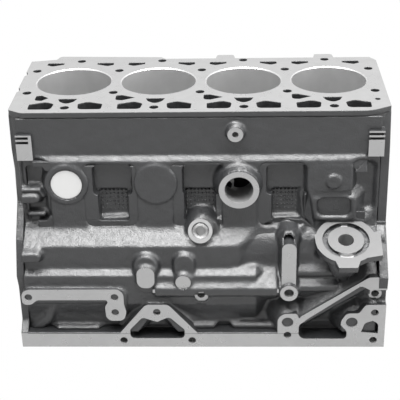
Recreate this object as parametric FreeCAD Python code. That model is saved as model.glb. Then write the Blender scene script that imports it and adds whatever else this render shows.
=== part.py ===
"""Bare four-cylinder diesel engine block: one iron casting with its main bearing caps,
cam bushes, core plugs, oil plugs and dowels.

Bank frame: X runs along the crankshaft and is 0 in the middle of the cylinder bank, Y is 0 on
the plane of the bore axes and grows away from the camshaft side, Z is 0 on the pan rail.
Every piece is moved by the same offset at the end, so that the finished block stands with the
centre of its base at the origin.  Millimetres throughout.
"""
import FreeCAD, Part
import math
import os
from FreeCAD import Vector

X_AXIS = Vector(1, 0, 0)
Y_AXIS = Vector(0, 1, 0)
Z_AXIS = Vector(0, 0, 1)
ORIGIN = Vector(0, 0, 0)

# ---------------------------------------------------------------- driving dimensions
cylinders = 4
bore_d = 98.0
bore_pitch = 112.0
deck_z = 314.0               # deck face above the pan rail
end_wall = 14.2              # from the end bearings' centres to the machined end faces
end_x = cylinders * bore_pitch / 2.0 + end_wall
side_y = 158.0               # plane of the machined side pads on the camshaft side
back_rail_y = 126.0          # edge of the pan rail on the plain side
rail_t = 22.0                # pan rail on the camshaft side
back_rail_t = 16.0           # pan rail on the plain side

deck_front_y = 109.5         # edge of the deck flange, camshaft side
deck_back_y = 87.0           # edge of the deck flange, plain side
deck_flange_t = 7.0
deck_lip = 1.5               # the flange stands this far proud of the walls
corner_x = 17.0              # the front corners sweep back over this length
corner_y = 11.0

case_floor_z = 150.0         # underside of the cylinder case
barrel_foot_z = 122.0        # the barrels end this low in the crankcase
bead_z = 255.8               # top of the upper of the two stepped beads
bead_step = 4.0
bead_half_x = 210.0
low_wall_y = 115.0           # lower wall of the case, below the beads

# cylinder barrels and water jacket
barrel_wall = 8.0
bore_chamfer = 1.2
jacket_floor_z = 166.0
jacket_roof_z = 302.0
jacket_y = 69.0
jacket_end_gap = 11.0        # iron left between jacket and end face
neck_half_w = 13.0           # jacket neck between a cylinder's two pushrod shafts

# crankshaft and camshaft
crank_z = 66.0
main_bore_r = 36.0
bulkhead_w = 24.0
cam_y = 98.0
cam_z = 125.0
cam_bore_r = 25.0
cam_tunnel_r = 33.0
skirt_y = 128.0              # outer face of the crankcase skirt, camshaft side
skirt_wall = 7.0
back_skirt_y = 95.0

# main bearing caps
cap_half_w = 62.0
cap_h = 54.0
cap_seat_h = 36.0            # joint to the seats of the bolt heads
cap_w = 22.0
cap_bolt_y = 47.0
cap_bolt_d = 12.0
cap_bolt_clearance = 0.4
cap_bolt_head_af = 18.0
cap_bolt_head_h = 8.0
cap_bolt_depth = 40.0        # threaded length in the block
fit = 0.02                   # clearance of pressed and seated pieces, each side

# threaded and plain holes, tapping sizes
head_bolt_d = 11.5
head_bolt_depth = 42.0
head_row_y = 41.0            # rows between the cylinders
head_front_y = 93.0          # row at the cylinder centres, camshaft side
head_back_y = 79.3
m8_d = 8.0
m10_d = 10.0
tap_depth = 24.0

# pushrod shafts and tappets
pushrod_dx = 30.0            # each side of a cylinder's centre
pushrod_y = 84.0
tappet_r = 8.0
shaft_floor_z = 176.0

# core openings on the camshaft side
core_z = 218.7
core_face_y = 118.0
core_boss_r = 26.5
core_hole_r = 19.8
core_port_x = 49.5
core_port_face_y = 133.0
core_port_r = 18.1
core_plug_depth = 4.0

sender_tilt = 27.0           # the sender boss looks up by this much

# oil gallery and its cross drillings
gallery_z = 76.5
gallery_y = 132.0
gallery_boss_r = 12.0
gallery_plug_r = 7.0
gallery_plug_l = 14.0
drilling_r = 5.0

# filter seat, a shelf that leans away from the block
filter_x = 184.0
filter_y = 146.0
filter_z = 153.6
filter_tilt = 19.0           # the shelf falls this many degrees towards its edge
filter_r = 38.5
filter_t = 9.0
filter_tab = 8.0
filter_groove_r = 29.6
filter_land_r = 22.8
filter_groove_d = 5.0
filter_hole_r = 10.1
filter_hole_l = 24.0

# core plugs, dowels and drain plug
plug_depth = 3.0
plug_inset = 1.2             # below the face of the boss
back_plug_r = 19.8
back_plug_z = 236.0
back_boss_r = 27.0
dowel_r = 4.0
dowel_in = 12.0
dowel_proud = 5.0
dowel_places = ((-112.0, 52.0), (74.0, 118.0))
drain_z = 180.0
drain_r = 8.0

bank_x = [bore_pitch * (i - (cylinders - 1) / 2.0) for i in range(cylinders)]
main_x = [bore_pitch * (i - cylinders / 2.0) for i in range(cylinders + 1)]
bore_r = bore_d / 2.0
barrel_r = bore_r + barrel_wall


# ---------------------------------------------------------------- building helpers
def box(x0, x1, y0, y1, z0, z1):
    return Part.makeBox(x1 - x0, y1 - y0, z1 - z0, Vector(x0, y0, z0))


def rod(start, axis, radius, length):
    return Part.makeCylinder(radius, length, start, axis)


def corner(before, here, after, radius):
    """Two tangent points and the middle of the arc that rounds one corner."""
    room = 0.48 * min((before - here).Length, (after - here).Length)
    u = (before - here).normalize()
    v = (after - here).normalize()
    half = u.getAngle(v) / 2.0
    reach = min(radius / math.tan(half), room)
    radius = reach * math.tan(half)
    middle = (u + v).normalize()
    centre = here + middle * (radius / math.sin(half))
    return here + u * reach, centre - middle * radius, here + v * reach


def outline(points, place):
    """Closed face through (u, v, radius) points; place turns (u, v) into a Vector."""
    spots = [place(p[0], p[1]) for p in points]
    radii = [p[2] if len(p) > 2 else 0.0 for p in points]
    edges = []
    first = None
    last = None
    for i, here in enumerate(spots):
        before = spots[i - 1]
        after = spots[(i + 1) % len(spots)]
        if radii[i] > 0:
            a, m, b = corner(before, here, after, radii[i])
            arc = Part.Arc(a, m, b).toShape()
        else:
            a, b, arc = here, here, None
        if last is not None and (a - last).Length > 1e-6:
            edges.append(Part.LineSegment(last, a).toShape())
        if arc:
            edges.append(arc)
        if first is None:
            first = a
        last = b
    if (first - last).Length > 1e-6:
        edges.append(Part.LineSegment(last, first).toShape())
    return Part.Face(Part.Wire(edges))


def prism_x(points, x0, x1):
    """(y, z, radius) outline extruded from x0 to x1."""
    face = outline(points, lambda u, v: Vector(x0, u, v))
    return face.extrude(Vector(x1 - x0, 0, 0))


def prism_y(points, y0, y1):
    """(x, z, radius) outline extruded from y0 to y1."""
    face = outline(points, lambda u, v: Vector(u, y0, v))
    return face.extrude(Vector(0, y1 - y0, 0))


def prism_z(points, z0, z1):
    """(x, y, radius) outline extruded from z0 to z1."""
    face = outline(points, lambda u, v: Vector(u, v, z0))
    return face.extrude(Vector(0, 0, z1 - z0))


def turned(profile, base, axis):
    """(radius, distance) profile turned about an axis that starts at base."""
    spots = [Vector(p[0], 0, p[1]) for p in profile]
    face = Part.Face(Part.makePolygon(spots + spots[:1]))
    solid = face.revolve(ORIGIN, Z_AXIS, 360)
    solid.Placement = FreeCAD.Placement(base, FreeCAD.Rotation(Z_AXIS, axis))
    return solid


def boss(base, axis, radius, height, foot):
    """Round boss that spreads into its wall with a sloping foot."""
    profile = [(0, -foot), (radius + foot, -foot), (radius + foot, 0), (radius, foot),
               (radius, height), (0, height)]
    return turned(profile, base, axis)


def fuse(shapes):
    return shapes[0].multiFuse(shapes[1:]) if len(shapes) > 1 else shapes[0]


def front_boss(x, z, radius, face_y, wall_y, foot):
    return boss(Vector(x, -wall_y, z), -Y_AXIS, radius, face_y - wall_y, foot)


def front_hole(x, z, radius, face_y, depth):
    """Drilled hole square to the camshaft side."""
    return rod(Vector(x, -face_y - 1, z), Y_AXIS, radius, depth + 1)


def drilled(start, axis, radius, depth):
    return rod(start - axis, axis, radius, depth + 1)


# ---------------------------------------------------------------- the casting: what is added
def deck_plate():
    """Deck flange: swept front corners, and a back edge with its lands and lugs."""
    y = -deck_front_y
    b = deck_back_y
    e = end_x
    land = 11.0
    lug = 14.0
    pts = [(-e, y + corner_y, 6), (-e + corner_x, y, 14), (e - 26, y, 40), (e, y + 15.5),
           (e, b - 13), (e - 8, b), (181, b), (179, b + lug, 4), (155, b + lug, 4), (153, b),
           (45, b), (43, b + lug, 4), (20, b + lug, 4), (18, b), (-52, b),
           (-58, b + land - 4), (-200, b + land + 2, 6), (-204, b), (-e, b - 7)]
    return prism_z(pts, deck_z - deck_flange_t, deck_z)


def case_walls():
    """Cylinder case between the crankcase and the deck flange."""
    y = -deck_front_y + deck_lip
    b = deck_back_y - 5.0
    e = end_x
    pts = [(-e, y + corner_y, 6), (-e + corner_x, y, 14), (e - 26, y, 40), (e, y + 15.5),
           (e, b), (-e, b)]
    return prism_z(pts, case_floor_z, deck_z - deck_flange_t)


def lower_wall():
    """Wall below the upper one, stepping out over two beads."""
    low = low_wall_y
    mid = low - 3.0
    top = deck_front_y - deck_lip
    z = bead_z
    pts = [(-90, case_floor_z), (-low, case_floor_z), (-low, z - 6.5), (-mid, z - 4.8),
           (-mid, z - 3.1), (-top, z), (-90, z)]
    return prism_x(pts, -bead_half_x, bead_half_x)


def cam_gallery():
    """Bulge along the camshaft side: sloped roof, upright front and two stepped ledges."""
    inner = -85.0
    roof = [(inner, 158), (-low_wall_y, 156.5), (-140, 141, 4), (-140, 60), (inner, 60)]
    step = [(inner, 109.5), (-140, 109.5), (-150, 103.5, 2), (-150, 60), (inner, 60)]
    upper = prism_x(roof, -226, 66)
    taper = [(20, -150), (48, -141, 30), (78, -112, 20), (110, -112), (110, -150)]
    upper = upper.cut(prism_z(taper, 112, 160))
    ledge = prism_x(step, -226, 70)
    nose = [(-150, 96.3), (-side_y, 89, 2), (-side_y, 82, 3), (-skirt_y, 56), (inner, 56),
            (inner, 96.3)]
    toe = prism_x(nose, -62, 100)
    brow = prism_x([(-100, 122), (-124, 120), (-141, 104, 4), (-141, 98, 2), (-136, 96, 2),
                    (-139, 93, 2), (-150, 88, 3), (-150, 82, 5), (-130, 68), (-100, 68)],
                   116, 176)
    trim = [(158, -130), (182, -130), (182, -155), (176, -155)]
    return [upper, ledge, toe, brow.cut(prism_z(trim, 60, 125))]


def skirt():
    """Crankcase skirt with its pan rails."""
    front = prism_x([(-skirt_y, 0), (-skirt_y, 70), (-60, 70), (-60, 0)], -end_x + 2, end_x - 2)
    rail = prism_x([(-side_y, 0), (-side_y, rail_t, 1.5), (-skirt_y - 5, rail_t, 4),
                    (-skirt_y, rail_t + 5), (-60, rail_t + 5), (-60, 0)], -end_x, end_x)
    b = back_skirt_y
    back = prism_x([(60, 0), (b, 0), (b, 95, 40), (deck_back_y - 5, 170), (60, 170)],
                   -end_x, end_x)
    back_rail = prism_x([(60, 0), (back_rail_y, 0), (back_rail_y, back_rail_t, 1.5),
                         (b + 5, back_rail_t, 4), (b, back_rail_t + 5), (60, back_rail_t + 5)],
                        -end_x, end_x)
    core = box(-end_x, end_x, -110, 70, 0, case_floor_z + 10)
    tunnel = rod(Vector(-end_x + 2, -cam_y, cam_z), X_AXIS, cam_tunnel_r, 2 * end_x - 4)
    under = prism_x([(-skirt_y, 60), (-skirt_y - 2, 100, 20), (-cam_y - cam_tunnel_r, cam_z),
                     (-80, cam_z), (-80, 60)], -end_x + 2, end_x - 2)
    oil = rod(Vector(70, -gallery_y, gallery_z), X_AXIS, gallery_boss_r, end_x - 72)
    return [front, rail, back, back_rail, core, tunnel, under, oil]


def end_plates():
    """Front and rear flanges; their edges follow the gallery outwards."""
    b = deck_back_y - 5.0
    front = [(-98, deck_z - 4, 6), (-100, 262), (-94, 230, 20), (-99, 188, 12), (-131, 146, 20),
             (-149, 103, 6), (-143, 84, 8), (-143, 34, 6), (-side_y, rail_t, 1), (-side_y, 0),
             (back_rail_y, 0), (back_rail_y, back_rail_t, 1), (back_skirt_y, 34, 8),
             (back_skirt_y, 120, 30), (b, 170, 30), (b, deck_z - 4)]
    rear = [(-95, deck_z - 4, 6), (-104, 262, 60), (-108, 158, 8), (-side_y - 2, 105, 2),
            (-side_y, 89, 1), (-148, 80, 4), (-148, 66, 4), (-side_y, 62, 2), (-side_y, 0),
            (back_rail_y, 0), (back_rail_y, back_rail_t, 1), (back_skirt_y, 34, 8),
            (back_skirt_y, 120, 30), (b, 170, 30), (b, deck_z - 4)]
    return [prism_x(front, -end_x, -end_x + 9), prism_x(rear, end_x - 11, end_x)]


def front_pads():
    """Machined pads of the camshaft side, all in the plane of the pan rail."""
    y0, y1 = -side_y, -skirt_y + 10
    bar = [(-232.7, 88, 10.5), (-100.2, 88, 11), (-100.2, 66, 8), (-97.5, 54, 11),
           (-101, 40.8, 9), (-124, 40.8, 9), (-125, 62, 8), (-119, 72.3, 4), (-213, 72.3, 6),
           (-221, 65.5, 8), (-232.7, 65.5, 8)]
    mount = [(-108, rail_t - 1), (-72.5, 65, 10), (-43, 65, 10), (-5, rail_t - 1)]
    strip = [(128, 36), (128.4, 46.6), (214.5, 105.5, 8), (end_x, 105.5), (end_x, 87),
             (216, 87, 6), (205, 93.2, 6)]
    corner_pad = [(181, rail_t - 1), (181, 40, 13), (188, 51.5, 9), (204, 51.5, 6),
                  (212, 64.5, 6), (end_x, 64.5), (end_x, 0), (181, 0)]
    lobe = [(99, rail_t - 1), (99, 51, 13), (124.5, 51, 13), (126, 44, 3), (138, 46),
            (128, 30, 6), (126, rail_t - 1)]
    return [prism_y(s, y0, y1) for s in (bar, mount, strip, corner_pad, lobe)]


def pad_windows():
    """Hollows cast in the pads: under the mount pad, under the strip and in the corner pad."""
    y0, y1 = -side_y - 1, -skirt_y - 3
    mount = [(-94, 13.3, 9), (-94, 27, 5), (-77, 46, 6), (-67, 42), (-57.5, 39), (-52, 42),
             (-42, 46.5, 6), (-22.5, 27, 5), (-22.5, 13.3, 9)]
    rail = [(126.4, 12.6, 9), (126.4, 34, 9), (152, 53, 9), (205, 91, 8), (205, 58, 10),
            (179, 50, 10), (179, 36, 9), (189, 24, 8), (189, 12.6, 9)]
    arch = [(207.5, 23), (212, 37, 7), (222, 40.5), (229.5, 36, 7), (229.5, 21)]
    cut = [prism_y(mount, y0, y1), prism_y(rail, y0, y1)]
    cut.append(prism_y(arch, -side_y - 1, -side_y + 14))
    return cut


def back_bosses():
    """Core openings and drain boss on the plain side."""
    wall = deck_back_y - 5.0
    out = [boss(Vector(x, wall, back_plug_z), Y_AXIS, back_boss_r, 4, 3) for x in main_x[1:-1]]
    out.append(boss(Vector(main_x[-2], wall, drain_z), Y_AXIS, drain_r + 7, 6, 3))
    return out


def core_bosses():
    """Three round core openings on their columns, at the cylinder centres."""
    out = []
    for x in (bank_x[0] - 1.5, bank_x[1]):
        out.append(front_boss(x, core_z, core_boss_r, core_face_y, low_wall_y - 5, 5))
    out.append(front_boss(core_port_x, core_z - 1.2, 25.4, core_port_face_y, low_wall_y - 3.5, 6))
    return out


def recess(x0, x1, y_back, z0, z1, radius):
    """Recess in the lower wall with drafted sides, seen from the camshaft side."""
    draft = 3.0
    back = outline([(x0, z0, radius), (x0, z1, radius), (x1, z1, radius), (x1, z0, radius)],
                   lambda u, v: Vector(u, -y_back, v))
    front_y = low_wall_y + 3
    wide = outline([(x0 - draft, z0, radius), (x0 - draft, z1 + 1, radius),
                    (x1 + draft, z1 + 1, radius), (x1 + draft, z0, radius)],
                   lambda u, v: Vector(u, -front_y, v))
    return Part.makeLoft([back.OuterWire, wide.OuterWire], True, True)


def wall_recesses():
    """Pockets between the columns and the deeper panels below them."""
    pocket_y = 104.0
    panel_y = 99.0
    z_top = 243.0
    z_mid = 206.5
    out = []
    for x0, x1, panel0, panel1 in ((-134, -88, -128, -94), (-20, 27, -18, 18),
                                   (86, 138, 93, 130)):
        out.append(recess(x0, x1, pocket_y, z_mid - 4, z_top, 6))
        out.append(recess(panel0, panel1, panel_y, 166, z_mid, 3))
    out.append(recess(-221, -198, pocket_y - 2, 166, z_top - 1, 6))
    out.append(recess(194, 219, pocket_y - 2, 178, 232, 5))
    return out


def end_lugs():
    """Machined lugs at both ends of the upper wall, grooved above their pads."""
    out = []
    for x0, x1, z0 in ((-229.5, -209.5, 251), (210.5, 230, 254)):
        lug = box(x0, x1, -deck_front_y - 4, -90, z0, z0 + 34)
        for z in (z0 + 22.5, z0 + 28.5):
            lug = lug.cut(box(x0 - 1, x1 - 4 if x0 < 0 else x1 + 1, -deck_front_y - 5,
                              -deck_front_y, z, z + 3.5))
        out.append(lug)
    return out


def filter_frame():
    """Placement with Z out of the seat's face and Y up the slope, towards the block."""
    turn = FreeCAD.Rotation(X_AXIS, filter_tilt)
    return FreeCAD.Placement(Vector(filter_x, -filter_y, filter_z), turn)


def filter_seat():
    """Filter seat: round shelf with side lugs and a front tab, on a tapering chin."""
    r = filter_r
    pad = rod(Vector(0, 0, -filter_t), Z_AXIS, r, filter_t)
    left = prism_z([(-40, 9, 2), (-36, -16, 6), (-20, -24), (0, 0), (-20, 12)], -filter_t, 0)
    right = prism_z([(20, 14), (end_x - filter_x - 10, 13), (end_x - filter_x - 10, -26),
                     (24, -30), (0, 0)], -filter_t, 0)
    tab = prism_z([(-17, -r + 8), (-11.5, -r - filter_tab, 2), (11.5, -r - filter_tab, 2),
                   (17, -r + 8)], -filter_t, 0)
    lift = filter_frame()
    for piece in (pad, left, right, tab):
        piece.Placement = lift
    wall = prism_x([(-90, 176), (-108, 175), (-113, 169, 3), (-117, 150), (-130, 140),
                    (-90, 120)], 146, main_x[-1])
    stem = outline([(-26, -27.5, 12), (22, -27.5, 12), (28, 36), (-32, 36)],
                   lambda u, v: lift.multVec(Vector(u, v, 1 - filter_t)))
    foot = outline([(174, -140, 5), (192, -140, 5), (196, -112), (168, -112)],
                   lambda u, v: Vector(u, v, 84))
    chin = Part.makeLoft([stem.OuterWire, foot.OuterWire], True, True)
    return [pad, left, right, tab, wall, chin]


def filter_cuts():
    groove = rod(Vector(0, 0, -filter_groove_d), Z_AXIS, filter_groove_r, filter_groove_d + 1)
    groove = groove.cut(rod(Vector(0, 0, -filter_groove_d - 1), Z_AXIS, filter_land_r,
                            filter_groove_d + 3))
    hole = drilled(ORIGIN, -Z_AXIS, filter_hole_r, filter_hole_l)
    lift = filter_frame()
    for piece in (groove, hole):
        piece.Placement = lift.multiply(piece.Placement)
    return [groove, hole]


def small_bosses():
    """Round bosses of the camshaft side."""
    out = [front_boss(45.3, 287.2, 9.7, 120, deck_front_y - deck_lip, 5.5)]
    tilt = math.radians(sender_tilt)
    axis = Vector(0, -math.cos(tilt), math.sin(tilt))
    face = Vector(0, -135, 161)
    out.append(boss(face - axis * 30, axis, 15.6, 30, 8))
    out.append(front_boss(-22.5, 98.5, 9.8, side_y, 140, 5))
    out.append(front_boss(0, 75.5, 10.5, side_y - 7, 128, 5))
    out.append(front_boss(113, 82.0, 11.4, side_y, 128, 5))
    out.append(front_boss(main_x[-1], gallery_z, 8.5, side_y - 9, 134, 3))
    oval = [(-81.8, 90.3, 10), (-81.8, 120.4, 10), (-59.2, 120.4, 10), (-59.2, 90.3, 10)]
    out.append(prism_y(oval, -side_y, -120))
    column = [(103.4, 90, 3), (103.4, 152, 8), (121.8, 152, 8), (121.8, 90, 3)]
    out.append(prism_y(column, -154, -100))
    disc = front_boss(168.8, 224.7, 9.2, low_wall_y + 2.5, low_wall_y, 2)
    out.append(disc)
    return out


# ---------------------------------------------------------------- the casting: what is cut
def bores():
    out = []
    for x in bank_x:
        profile = [(0, 100), (bore_r, 100), (bore_r, deck_z - bore_chamfer),
                   (bore_r + bore_chamfer + 1, deck_z + 1), (0, deck_z + 1)]
        out.append(turned(profile, Vector(x, 0, 0), Z_AXIS))
    return out


def water_jacket():
    """One cavity round the joined barrels, with a neck out to each core opening."""
    x = end_x - jacket_end_gap
    z0, z1 = jacket_floor_z, jacket_roof_z
    cavity = prism_z([(-x, -jacket_y, 30), (x, -jacket_y, 30), (x, jacket_y, 30),
                      (-x, jacket_y, 30)], z0, z1)
    barrels = fuse([rod(Vector(c, 0, z0 - 1), Z_AXIS, barrel_r, z1 - z0 + 2) for c in bank_x])
    cavity = cavity.cut(barrels)
    necks = [box(c - neck_half_w, c + neck_half_w, -jacket_y - 18, -jacket_y + 8, z0 + 8, z1)
             for c in bank_x]
    return fuse([cavity] + necks)


def pushrod_slots():
    """Pushrod shafts: straight in front, rising towards the head bolt, tappet bore below."""
    out = []
    for c in bank_x:
        for side in (-1, 1):
            pts = [(c + side * 46, -98.5, 3), (c + side * 46.5, -81, 3), (c + side * 27, -73, 8),
                   (c + side * 15, -80, 6), (c + side * 17, -98.5, 6)]
            out.append(prism_z(pts, shaft_floor_z, deck_z + 1))
            foot = Vector(c + side * pushrod_dx, -pushrod_y, 120)
            out.append(rod(foot, Z_AXIS, tappet_r, shaft_floor_z - 119))
    return out


def coolant_slots():
    """Coolant passages through the deck: drops and half moons in front, D slots behind."""
    z0, z1 = jacket_roof_z - 1, deck_z + 1
    out = []
    for i, c in enumerate(bank_x):
        moon = [(c - 12.5, -62.5), (c - 9, -73, 8), (c, -81, 12), (c + 9, -73, 8),
                (c + 12.5, -62.5)]
        out.append(prism_z(moon, z0, z1))
        reach = 17 if i == 0 else 25
        x0 = c - (42 if i == 0 else 51)
        drop = [(x0, -51, 5), (x0, -68, 5), (x0 + 9, -69), (x0 + reach, -60), (x0 + 7, -50.5)]
        out.append(prism_z(drop, z0, z1))
        for side in (-1, 1):
            a, b = c + side * 23, c + side * 45.5
            d = [(a, 72.5), (b, 72.5), (b + side * 0.5, 64), (c + side * 38, 59, 5), (a, 66)]
            out.append(prism_z(d, z0, z1))
    return out


def head_bolt_places():
    out = []
    for x in main_x:
        out += [(x, -head_row_y), (x, head_row_y)]
    for x in bank_x:
        out += [(x, -head_front_y), (x, head_back_y)]
    return out


def deck_holes():
    out = [drilled(Vector(x, y, deck_z), -Z_AXIS, head_bolt_d / 2, head_bolt_depth)
           for x, y in head_bolt_places()]
    out.append(drilled(Vector(main_x[-1], -71, deck_z), -Z_AXIS, 3.6, 20))
    for y in (-30, 30):
        out.append(rod(Vector(-end_x - 9, y, case_floor_z + 40), Z_AXIS, 12, 200))
    return out


def crankcase():
    """Bays between the bulkheads, cap seats, crank bore, cam bearing bores."""
    inner_front = -(skirt_y - skirt_wall)
    inner_back = back_skirt_y - skirt_wall
    out = []
    for left, right in zip(main_x[:-1], main_x[1:]):
        x0 = left + bulkhead_w / 2
        x1 = right - bulkhead_w / 2
        cam_front = -cam_y - cam_bore_r
        bay = [(inner_front, -1), (inner_front, 90, 8), (cam_front, 104, 6),
               (cam_front, 134, 10), (-108, 147, 8), (-80, 147, 10), (-64, 134, 6),
               (60, 134, 12), (inner_back, 96, 30), (inner_back, -1)]
        bay = prism_x(bay, x0, x1)
        barrel = rod(Vector((left + right) / 2.0, 0, barrel_foot_z), Z_AXIS, bore_r + 6, 60)
        out.append(bay.cut(barrel))
    for x in main_x:
        wide = cap_half_w + fit
        out.append(box(x - bulkhead_w, x + bulkhead_w, -wide, wide, -1, crank_z))
    out.append(rod(Vector(-end_x - 1, 0, crank_z), X_AXIS, main_bore_r, 2 * end_x + 2))
    out.append(rod(Vector(-end_x - 1, -cam_y, cam_z), X_AXIS, cam_bore_r, 2 * end_x + 2))
    for x in main_x:
        for y in (-cap_bolt_y, cap_bolt_y):
            out.append(drilled(Vector(x, y, crank_z), Z_AXIS, cap_bolt_d / 2, cap_bolt_depth))
    return out


def side_holes():
    """Holes of the camshaft side."""
    s = side_y
    out = [front_hole(x, z, m10_d / 2, s, tap_depth) for x, z in
           ((-112.3, 53.5), (-58, 53.8), (-103, 10), (-13, 10), (112, 18.4),
            (main_x[-1], 52.7), (main_x[-1] - 0.2, 10.5))]
    out += [front_hole(x, 37.8, 7.6, s, 9) for x in (111.8, 195)]
    out += [front_hole(x, 37.8, 5.1, s, 28) for x in (111.8, 195)]
    out.append(front_hole(45.3, 287.2, 4.0, 120, 18))
    out.append(front_hole(113, 82, 6.3, s, 26))
    x0 = bank_x[0] - 1.5
    out.append(rod(Vector(x0, -core_face_y - 1, core_z), Y_AXIS, core_hole_r, 40))
    out.append(rod(Vector(core_port_x, -core_port_face_y - 1, core_z - 1.2), Y_AXIS,
                   core_port_r, 62))
    tilt = math.radians(sender_tilt)
    axis = Vector(0, -math.cos(tilt), math.sin(tilt))
    face = Vector(0, -135, 161)
    out.append(turned([(0, 1), (11.5, 1), (9.5, -9), (6.2, -12), (6.2, -26), (0, -26)],
                      face, axis))
    return out


def oil_ways():
    """Mouths of the drillings that cross the main oil gallery at each main bearing."""
    faces = (side_y, side_y, side_y - 7, side_y, side_y - 9)
    return [front_hole(x, gallery_z, drilling_r, face, 14)
            for i, (x, face) in enumerate(zip(main_x, faces)) if i != 3]


def core_plug_places():
    """Centre on the outer face and inward direction of every pressed core plug."""
    wall = deck_back_y - 1.0
    places = [(Vector(bank_x[0] - 1.5, -core_face_y, core_z), Y_AXIS, core_hole_r)]
    places += [(Vector(x, wall, back_plug_z), -Y_AXIS, back_plug_r) for x in main_x[1:-1]]
    places += [(Vector(-end_x, 0, back_plug_z), X_AXIS, back_plug_r),
               (Vector(end_x, 0, back_plug_z), -X_AXIS, back_plug_r)]
    return places


def plug_seats():
    """Holes of the core plugs, gallery plugs, drain plug, dowels and the rear cam cup."""
    out = [rod(p - a, a, r + fit, 30) for p, a, r in core_plug_places()[1:]]
    for side in (-1, 1):
        face = Vector(side * end_x, -gallery_y, gallery_z)
        out.append(rod(face, -X_AXIS * side, gallery_plug_r + fit, gallery_plug_l))
    for side in (-1, 1):
        for y, z in dowel_places:
            out.append(rod(Vector(side * end_x, y, z), -X_AXIS * side, dowel_r + fit, dowel_in))
    face = Vector(main_x[-2], deck_back_y + 1.0, drain_z)
    out.append(rod(face + Y_AXIS, -Y_AXIS, drain_r + fit, 30))
    return out


def casting():
    solid = fuse([case_walls(), deck_plate(), lower_wall()] + cam_gallery() + skirt()
                 + end_plates() + end_lugs())
    solid = solid.cut(fuse(wall_recesses()))
    solid = solid.multiFuse(front_pads() + core_bosses() + back_bosses() + filter_seat()
                            + small_bosses())
    cuts = pad_windows() + filter_cuts() + bores() + [water_jacket()] + pushrod_slots()
    cuts += coolant_slots() + deck_holes() + crankcase() + side_holes() + oil_ways()
    cuts += plug_seats()
    return solid.cut(cuts)


# ---------------------------------------------------------------- the loose pieces
def write(name, shape):
    shape = shape.copy()
    reach = filter_y + (filter_r + filter_tab) * math.cos(math.radians(filter_tilt))
    shape.translate(Vector(0, (reach - back_rail_y) / 2.0, 0))
    shape.exportStep("parts/" + name + ".step")
    print(name, len(shape.Solids), shape.isValid(), round(shape.Volume / 1000.0, 1))


def main_cap(x):
    """Bearing cap with shoulders for its bolts; its joint face lies in the crank plane."""
    w = cap_half_w
    top = crank_z
    seat = crank_z - cap_seat_h
    low = crank_z - cap_h
    pts = [(-w, top), (-w, seat), (-w + 28, seat), (-w + 36, low, 12), (w - 36, low, 12),
           (w - 28, seat), (w, seat), (w, top)]
    cap = prism_x(pts, x - cap_w / 2, x + cap_w / 2)
    cap = cap.cut(rod(Vector(x - cap_w, 0, crank_z), X_AXIS, main_bore_r, 2 * cap_w))
    for y in (-cap_bolt_y, cap_bolt_y):
        cap = cap.cut(rod(Vector(x, y, -1), Z_AXIS, cap_bolt_d / 2 + cap_bolt_clearance,
                          crank_z + 2))
    return cap


def cap_bolts(x):
    """The two bolts of one cap, heads down, ends short of the drilled depth."""
    seat = crank_z - cap_seat_h
    out = []
    for y in (-cap_bolt_y, cap_bolt_y):
        across = cap_bolt_head_af / math.cos(math.radians(30)) / 2
        hexagon = [(x + across * math.cos(math.radians(60 * i)),
                    y + across * math.sin(math.radians(60 * i))) for i in range(6)]
        head = prism_z(hexagon, seat - cap_bolt_head_h, seat)
        shank = rod(Vector(x, y, seat), Z_AXIS, cap_bolt_d / 2 - fit,
                    cap_seat_h + cap_bolt_depth - 4)
        out.append(head.fuse(shank))
    return Part.makeCompound(out)


def core_plug(place, inward, radius, depth):
    """Pressed steel expansion plug, set a little below its boss."""
    return rod(place + inward * plug_inset, inward, radius - fit, depth)


def socket_plug(place, inward, radius, length):
    """Flush threaded plug with a hexagon socket."""
    body = rod(place + inward * 0.5, inward, radius, length)
    across = radius * 0.62
    socket = Part.makePolygon([Vector(across * math.cos(math.radians(60 * i)),
                                      across * math.sin(math.radians(60 * i)), 0)
                               for i in range(7)])
    socket = Part.Face(socket).extrude(Vector(0, 0, length * 0.5))
    socket.Placement = FreeCAD.Placement(place, FreeCAD.Rotation(Z_AXIS, inward))
    return body.cut(socket)


def dowel(side, y, z):
    """Hardened pin, pressed into an end face."""
    start = Vector(side * (end_x - dowel_in), y, z)
    return rod(start, X_AXIS * side, dowel_r, dowel_in + dowel_proud)


def main():
    os.makedirs("parts", exist_ok=True)
    write("cylinder_block", casting())
    for i, x in enumerate(main_x):
        number = str(i + 1)
        write("main_cap_" + number, main_cap(x))
        write("main_cap_bolts_" + number, cap_bolts(x))
    plugs = [core_plug(place, inward, radius, plug_depth)
             for place, inward, radius in core_plug_places()]
    write("side_core_plug", plugs[0])
    write("back_core_plugs", Part.makeCompound(plugs[1:4]))
    write("front_core_plug", plugs[4])
    write("rear_core_plug", plugs[5])
    rear = Vector(end_x, -cam_y, cam_z)
    write("cam_rear_plug", core_plug(rear, -X_AXIS, cam_bore_r, plug_depth))
    for side, name in ((-1, "front"), (1, "rear")):
        face = Vector(side * end_x, -gallery_y, gallery_z)
        write("gallery_plug_" + name, socket_plug(face, -X_AXIS * side, gallery_plug_r,
                                                  gallery_plug_l - 1))
    for side, name in ((-1, "front_dowel_"), (1, "rear_dowel_")):
        for i, (y, z) in enumerate(dowel_places):
            write(name + str(i + 1), dowel(side, y, z))
    face = Vector(main_x[-2], deck_back_y + 1.0, drain_z)
    write("drain_plug", socket_plug(face, -Y_AXIS, drain_r, 12))


main()
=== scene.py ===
"""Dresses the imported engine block: iron skin, milled faces, bright plugs and a plain studio."""

import math

import bmesh
import bpy
import numpy as np
from mathutils import Matrix, Vector


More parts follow.
